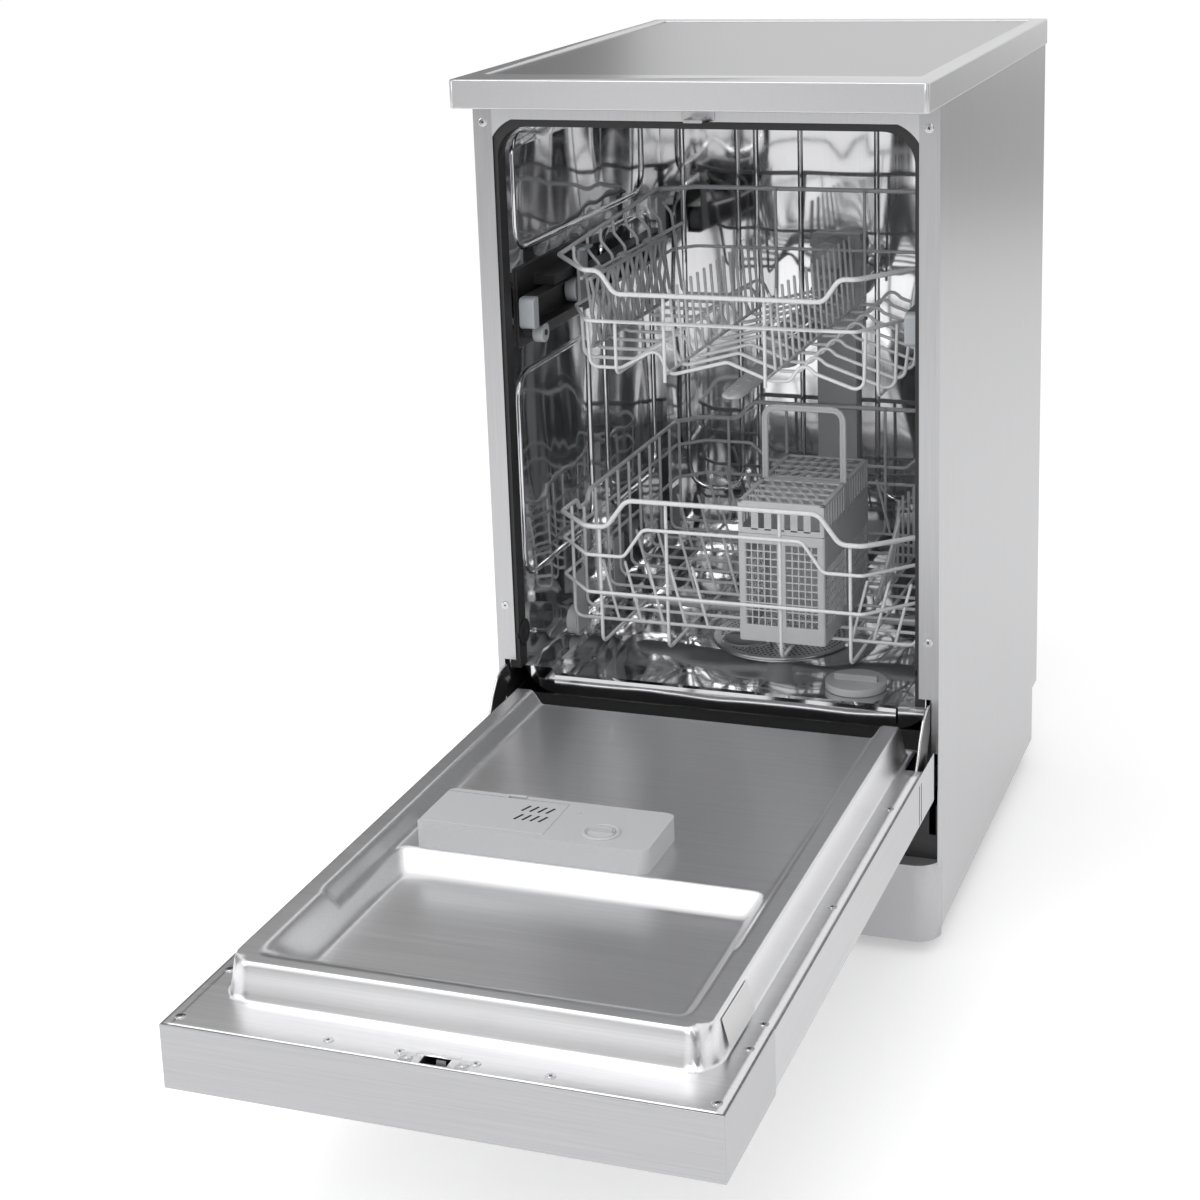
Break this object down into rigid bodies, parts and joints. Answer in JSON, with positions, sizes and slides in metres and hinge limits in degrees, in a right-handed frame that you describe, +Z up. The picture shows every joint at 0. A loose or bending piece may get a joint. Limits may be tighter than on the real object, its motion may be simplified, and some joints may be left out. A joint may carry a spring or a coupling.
{
  "type": "freestanding slimline dishwasher",
  "caption": "Freestanding slimline dishwasher with a drop-down door, two pull-out wire racks, a lidded cutlery basket, spray arms, a steel tub and a full base with pumps.",
  "frame": {"origin": "on the floor, under the middle of the whole outline with the door open", "axes": "+X to the right seen from the front, +Y from the open door towards the rear wall, +Z up"},
  "size_m": [0.45, 1.221, 0.845],
  "materials": {
    "worktop_frame": "silver, satin",
    "worktop_board": "silver laminate, semi gloss",
    "brushed_sheet": "brushed, vertical grain",
    "galvanised_sheet": "galvanised, dull",
    "tub_sheet": "bright annealed, near mirror",
    "liner_sheet": "satin pressing",
    "black_rubber": "dull",
    "black_plastic": "dull black",
    "silver_plastic": "silver, satin",
    "fascia": "brushed, fine grain",
    "hinge_steel": "zinc plated",
    "screw_steel": "bright",
    "coated_wire": "light grey coating over wire",
    "pale_plastic": "light grey, moulded",
    "dark_window": "smoked, polished",
    "board_green": "printed circuit board",
    "button_silver": "silver, satin",
    "cap_blue_grey": "light blue-grey",
    "filter_grey": "grey",
    "filter_steel": "finely pierced",
    "tank_white": "translucent white",
    "pump_grey": "dark grey"
  },
  "bodies": {
    "cabinet": {"worktop_rim": "worktop_frame", "worktop_panel": "worktop_board", "side_panel_left": "brushed_sheet", "side_panel_right": "brushed_sheet", "flange_screws": "screw_steel", "front_rail": "brushed_sheet", "latch_strike": "hinge_steel", "rear_panel": "galvanised_sheet", "tub": "tub_sheet", "tub_gasket": "black_rubber", "side_bumpers": "black_rubber", "base_tray": "black_plastic", "plinth": "silver_plastic", "feet": "black_plastic", "hinge_brackets": "hinge_steel", "sump": "pump_grey", "filter_plate": "filter_steel", "softener_tank": "tank_white", "wash_pump": "pump_grey", "drain_pump": "pump_grey", "inlet_valve": "pump_grey", "rear_duct": "pale_plastic", "roller_plates": "black_plastic"},
    "door": {"hinge_arms": "hinge_steel", "door_liner": "liner_sheet", "door_skin": "brushed_sheet", "control_panel": "fascia", "display_window": "dark_window", "control_board": "board_green", "rim_screws": "screw_steel", "latch_body": "black_plastic", "dispenser_body": "pale_plastic"},
    "rails": {"upper_rails": "black_plastic", "rail_caps": "pale_plastic"},
    "lower_rack": {"lower_rack_frame": "coated_wire", "wheel_carriers": "pale_plastic"},
    "basket": {"cutlery_basket": "pale_plastic"},
    "upper_rack": {"upper_rack_frame": "coated_wire", "feed_pipe": "pale_plastic"},
    "power_button_part": {"power_button": "button_silver"},
    "programme_button_part": {"programme_button": "button_silver"},
    "start_button_part": {"start_button": "button_silver"},
    "latch_hook_part": {"latch_hook": "hinge_steel"},
    "dispenser_lid_part": {"dispenser_lid": "pale_plastic"},
    "dispenser_catch_part": {"dispenser_catch": "cap_blue_grey"},
    "rinse_cap_part": {"rinse_cap": "cap_blue_grey"},
    "filter_cup_part": {"filter_cup": "filter_grey"},
    "salt_cap_part": {"salt_cap": "pale_plastic"},
    "front_rail_rollers_part": {"front_rail_rollers": "pale_plastic"},
    "rear_rail_rollers_part": {"rear_rail_rollers": "pale_plastic"},
    "lower_spray_arm_part": {"lower_spray_arm": "pale_plastic"},
    "upper_spray_arm_part": {"upper_spray_arm": "pale_plastic"},
    "wheel_pair_1_part": {"wheel_pair_1": "pale_plastic"},
    "wheel_pair_2_part": {"wheel_pair_2": "pale_plastic"},
    "wheel_pair_3_part": {"wheel_pair_3": "pale_plastic"},
    "basket_lid_front_part": {"basket_lid_front": "pale_plastic"},
    "basket_lid_rear_part": {"basket_lid_rear": "pale_plastic"},
    "front_rack_rollers_part": {"front_rack_rollers": "pale_plastic"},
    "rear_rack_rollers_part": {"rear_rack_rollers": "pale_plastic"},
    "cup_shelf_part": {"cup_shelf": "pale_plastic"}
  },
  "joints": [
    {"name": "door_hinge", "type": "hinge", "parent": "cabinet", "child": "door", "pos_m": [0, 0.0285, 0.176], "axis": [-1, 0, 0], "range_deg": [0, 90]},
    {"name": "lower_rack_slide", "type": "slide", "parent": "cabinet", "child": "lower_rack", "axis": [0, 1, 0], "range_m": [-0.367, 0]},
    {"name": "upper_rack_slide", "type": "slide", "parent": "cabinet", "child": "upper_rack", "axis": [0, 1, 0], "range_m": [-0.251, 0]},
    {"name": "rails_slide", "type": "slide", "parent": "cabinet", "child": "rails", "axis": [0, 1, 0], "range_m": [-0.1505, 0.0005]},
    {"name": "upper_arm_spin", "type": "hinge", "parent": "upper_rack", "child": "upper_spray_arm_part", "pos_m": [0, 0.3125, 0.523], "axis": [0, 0, 1], "continuous": true},
    {"name": "lower_arm_spin", "type": "hinge", "parent": "cabinet", "child": "lower_spray_arm_part", "pos_m": [0, 0.3215, 0.245], "axis": [0, 0, 1], "continuous": true},
    {"name": "basket_lift", "type": "slide", "parent": "lower_rack", "child": "basket", "axis": [0, 0, 1], "range_m": [0, 0.012]},
    {"name": "basket_lid_front_hinge", "type": "hinge", "parent": "basket", "child": "basket_lid_front_part", "pos_m": [0, 0.2237, 0.42], "axis": [-1, 0, 0], "range_deg": [0, 90]},
    {"name": "basket_lid_rear_hinge", "type": "hinge", "parent": "basket", "child": "basket_lid_rear_part", "pos_m": [0, 0.2343, 0.42], "axis": [1, 0, 0], "range_deg": [0, 90]},
    {"name": "cup_shelf_fold", "type": "hinge", "parent": "upper_rack", "child": "cup_shelf_part", "pos_m": [-0.1661, 0.3035, 0.627], "axis": [0, -1, 0], "range_deg": [0, 90]},
    {"name": "dispenser_lid_hinge", "type": "hinge", "parent": "door", "child": "dispenser_lid_part", "pos_m": [-0.15, -0.2615, 0.25], "axis": [0, -1, 0], "range_deg": [0, 90]},
    {"name": "dispenser_catch_slide", "type": "slide", "parent": "door", "child": "dispenser_catch_part", "axis": [0, -1, 0], "range_m": [0, 0.002], "stiffness_N_per_m": 300},
    {"name": "rinse_cap_turn", "type": "hinge", "parent": "door", "child": "rinse_cap_part", "pos_m": [0.011, -0.2765, 0.25], "axis": [0, 0, 1], "range_deg": [0, 90]},
    {"name": "latch_hook_turn", "type": "hinge", "parent": "door", "child": "latch_hook_part", "pos_m": [0, -0.5845, 0.178], "axis": [1, 0, 0], "range_deg": [0, 16], "stiffness_Nm_per_rad": 0.2},
    {"name": "filter_cup_turn", "type": "hinge", "parent": "cabinet", "child": "filter_cup_part", "pos_m": [-0.035, 0.298, 0.2], "axis": [0, 0, 1], "range_deg": [0, 60]},
    {"name": "salt_cap_turn", "type": "hinge", "parent": "cabinet", "child": "salt_cap_part", "pos_m": [0.112, 0.1945, 0.22], "axis": [0, 0, 1], "range_deg": [0, 90]},
    {"name": "power_button_press", "type": "slide", "parent": "door", "child": "power_button_part", "axis": [0, 0, 1], "range_m": [0, 0.002], "stiffness_N_per_m": 300},
    {"name": "programme_button_press", "type": "slide", "parent": "door", "child": "programme_button_part", "axis": [0, 0, 1], "range_m": [0, 0.002], "stiffness_N_per_m": 300},
    {"name": "start_button_press", "type": "slide", "parent": "door", "child": "start_button_part", "axis": [0, 0, 1], "range_m": [0, 0.002], "stiffness_N_per_m": 300},
    {"name": "wheel_1_roll", "type": "hinge", "parent": "lower_rack", "child": "wheel_pair_1_part", "pos_m": [0, 0.1985, 0.2593], "axis": [1, 0, 0], "range_deg": [-1, 1240]},
    {"name": "wheel_2_roll", "type": "hinge", "parent": "lower_rack", "child": "wheel_pair_2_part", "pos_m": [0, 0.3135, 0.2593], "axis": [1, 0, 0], "range_deg": [-1, 1240]},
    {"name": "wheel_3_roll", "type": "hinge", "parent": "lower_rack", "child": "wheel_pair_3_part", "pos_m": [0, 0.5075, 0.2593], "axis": [1, 0, 0], "range_deg": [-1, 1240]},
    {"name": "front_rail_rollers_turn", "type": "hinge", "parent": "cabinet", "child": "front_rail_rollers_part", "pos_m": [0, 0.1365, 0.5817], "axis": [1, 0, 0], "range_deg": [-1, 862]},
    {"name": "rear_rail_rollers_turn", "type": "hinge", "parent": "cabinet", "child": "rear_rail_rollers_part", "pos_m": [0, 0.3165, 0.5817], "axis": [1, 0, 0], "range_deg": [-1, 862]},
    {"name": "front_rack_rollers_turn", "type": "hinge", "parent": "upper_rack", "child": "front_rack_rollers_part", "pos_m": [0, 0.2305, 0.6075], "axis": [1, 0, 0], "range_deg": [-1, 415]},
    {"name": "rear_rack_rollers_turn", "type": "hinge", "parent": "upper_rack", "child": "rear_rack_rollers_part", "pos_m": [0, 0.4865, 0.6075], "axis": [1, 0, 0], "range_deg": [-1, 415]}
  ],
  "couplings": [
    {"joint": "rails_slide", "follows": "upper_rack_slide", "ratio": 0.5976},
    {"joint": "wheel_1_roll", "follows": "lower_rack_slide", "rad_per_m": -58.824},
    {"joint": "wheel_2_roll", "follows": "lower_rack_slide", "rad_per_m": -58.824},
    {"joint": "wheel_3_roll", "follows": "lower_rack_slide", "rad_per_m": -58.824},
    {"joint": "front_rail_rollers_turn", "follows": "upper_rack_slide", "rad_per_m": -59.76},
    {"joint": "rear_rail_rollers_turn", "follows": "upper_rack_slide", "rad_per_m": -59.76},
    {"joint": "front_rack_rollers_turn", "follows": "upper_rack_slide", "rad_per_m": -28.74},
    {"joint": "rear_rack_rollers_turn", "follows": "upper_rack_slide", "rad_per_m": -28.74}
  ]
}
